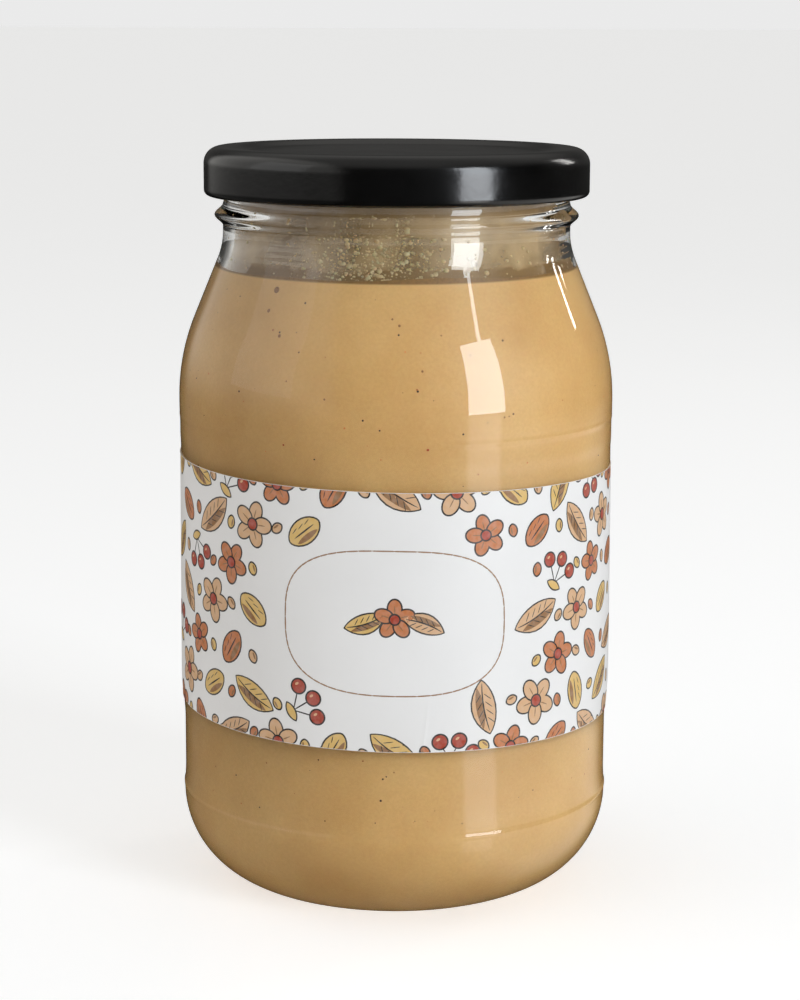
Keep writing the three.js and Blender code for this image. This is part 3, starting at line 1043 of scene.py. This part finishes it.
def studio_world():
    """Pale backdrop for the camera, and for reflections a room: grey to the left, dark in front, pale
    low on the right, with the window's glare on the table."""
    world = bpy.data.worlds.new("studio")
    world.use_nodes = True
    nodes = Nodes(world.node_tree)
    way = nodes.add("ShaderNodeTexCoord").outputs["Generated"]
    part = nodes.add("ShaderNodeSeparateXYZ", Vector=way)
    masks = {
        name: nodes.ramp(part.outputs[axis], *ends, interpolation_type="SMOOTHSTEP")
        for name, (axis, *ends) in ROOM.items()
    }
    level = nodes.add("ShaderNodeCombineXYZ", X=part.outputs["X"], Y=part.outputs["Y"])
    flat = nodes.add("ShaderNodeVectorMath", operation="NORMALIZE")
    nodes.put(flat.inputs[0], level.outputs[0])
    towards = nodes.add("ShaderNodeVectorMath", operation="DOT_PRODUCT")
    nodes.put(towards.inputs[0], flat.outputs[0])
    nodes.put(towards.inputs[1], around(WINDOW_AZIMUTH, 1.0, 0.0))
    glare = nodes.ramp(
        towards.outputs["Value"], math.cos(GLARE_END), math.cos(GLARE_FULL), 0.0, GLARE,
        interpolation_type="SMOOTHSTEP"
    )
    room = nodes.maths("ADD", nodes.maths("ADD", masks["left"], masks["behind"]), masks["above"])
    room = nodes.maths("MULTIPLY", room, masks["horizon"])
    band = nodes.maths("MULTIPLY", masks["low"], masks["near"])
    room = nodes.maths("ADD", room, nodes.maths("MULTIPLY", glare, band))
    room = nodes.maths("ADD", room, nodes.maths("MULTIPLY", masks["right"], masks["under"]))
    path = nodes.add("ShaderNodeLightPath")
    shade = nodes.add("ShaderNodeCombineColor")
    for label, warmth in ROOM_WARMTH.items():
        nodes.put(shade.inputs[label], nodes.maths("MULTIPLY", room, warmth))
    seen = nodes.blend(path.outputs["Is Camera Ray"], shade.outputs[0], BACKDROP)
    nodes.put(world.node_tree.nodes["Background"].inputs["Color"], seen)
    bpy.context.scene.world = world


def floor_material(look):
    """Pale matt table top with a very slight unevenness, a little brighter to the camera than to the
    jar, so that it meets the backdrop in one tone."""
    material, nodes, shader = new_material(
        "pale_floor", Roughness=0.45, Specular_IOR_Level=0.3, Emission_Color=(*look.floor, 1)
    )
    cloud = mottle(nodes, 6.0, 3.0, 0.0, 1.0)
    dull = tuple(value * 0.99 for value in look.floor)
    path = nodes.add("ShaderNodeLightPath")
    seen = nodes.maths("MULTIPLY", path.outputs["Is Camera Ray"], FLOOR_GLOW_SEEN)
    nodes.fill(
        shader,
        Base_Color=nodes.blend(cloud, (*look.floor, 1), (*dull, 1)),
        Emission_Strength=nodes.maths("ADD", seen, FLOOR_GLOW),
    )
    return material


class JAR_OT_stage(JarOperator, bpy.types.Operator):
    """Set the floor, the lights and the camera"""

    bl_idname = "jar.stage"
    bl_label = "Stage"

    def build(self, scene):
        look = scene.jar_stage
        mesh = bpy.data.meshes.new("floor")
        turn = np.linspace(0, 2 * math.pi, 64, endpoint=False)
        rim = np.column_stack([FLOOR_REACH * np.cos(turn), FLOOR_REACH * np.sin(turn), 0 * turn])
        mesh.from_pydata(rim.tolist(), [], [list(range(len(turn)))])
        mesh.materials.append(floor_material(look))
        floor = bpy.data.objects.new("floor", mesh)
        scene.collection.objects.link(floor)
        floor.visible_glossy = False
        for name, (azimuth, low, high, distance, width, power, tint) in LIGHTS.items():
            power *= getattr(look, name.split("_")[0])
            place = around(azimuth, distance, (low + high) / 2)
            area_light(name, place, (0, 0, place[2]), width, high - low, power, tint)
        studio_world()
        data = bpy.data.cameras.new("camera")
        data.lens = CAMERA_LENS
        data.clip_start = 0.01
        camera = bpy.data.objects.new("camera", data)
        camera.location = CAMERA_PLACE
        camera.rotation_mode = "QUATERNION"
        tilted = Matrix.Rotation(math.pi / 2 - CAMERA_TILT, 4, "X")
        rolled = Matrix.Rotation(CAMERA_ROLL, 4, "Z")
        camera.rotation_quaternion = (tilted @ rolled).to_quaternion()
        scene.collection.objects.link(camera)
        scene.camera = camera
        scene.view_settings.view_transform = "Standard"


class JAR_PT_panel(bpy.types.Panel):
    """The jar's builders and looks"""

    bl_label = "Peanut butter jar"
    bl_idname = "JAR_PT_panel"
    bl_space_type = "VIEW_3D"
    bl_region_type = "UI"
    bl_category = "Jar"

    def draw(self, context):
        for name, look in LOOKS.items():
            box = self.layout.box()
            for prop in look.__annotations__:
                box.prop(getattr(context.scene, name), prop)
        for operator in OPERATORS:
            self.layout.operator(operator.bl_idname)


LOOKS = {
    "jar_glass": GlassLook,
    "jar_butter": ButterLook,
    "jar_lid": LidLook,
    "jar_label": LabelLook,
    "jar_stage": StageLook,
}
OPERATORS = [
    JAR_OT_glass, JAR_OT_butter, JAR_OT_specks, JAR_OT_headspace,
    JAR_OT_lid, JAR_OT_label, JAR_OT_print, JAR_OT_stage,
]


def register():
    """Makes the classes known and hangs the looks on the scene."""
    for kind in [*LOOKS.values(), *OPERATORS, JAR_PT_panel]:
        bpy.utils.register_class(kind)
    for name, look in LOOKS.items():
        setattr(bpy.types.Scene, name, PointerProperty(type=look))


def unregister():
    """Takes away what register added."""
    for name in LOOKS:
        delattr(bpy.types.Scene, name)
    for kind in reversed([*LOOKS.values(), *OPERATORS, JAR_PT_panel]):
        bpy.utils.unregister_class(kind)


def main():
    """Builds every piece in order."""
    register()
    for build in (
        bpy.ops.jar.glass, bpy.ops.jar.butter, bpy.ops.jar.specks, bpy.ops.jar.headspace,
        bpy.ops.jar.lid, bpy.ops.jar.label, bpy.ops.jar.print, bpy.ops.jar.stage,
    ):
        build()


if __name__ == "__main__":
    main()
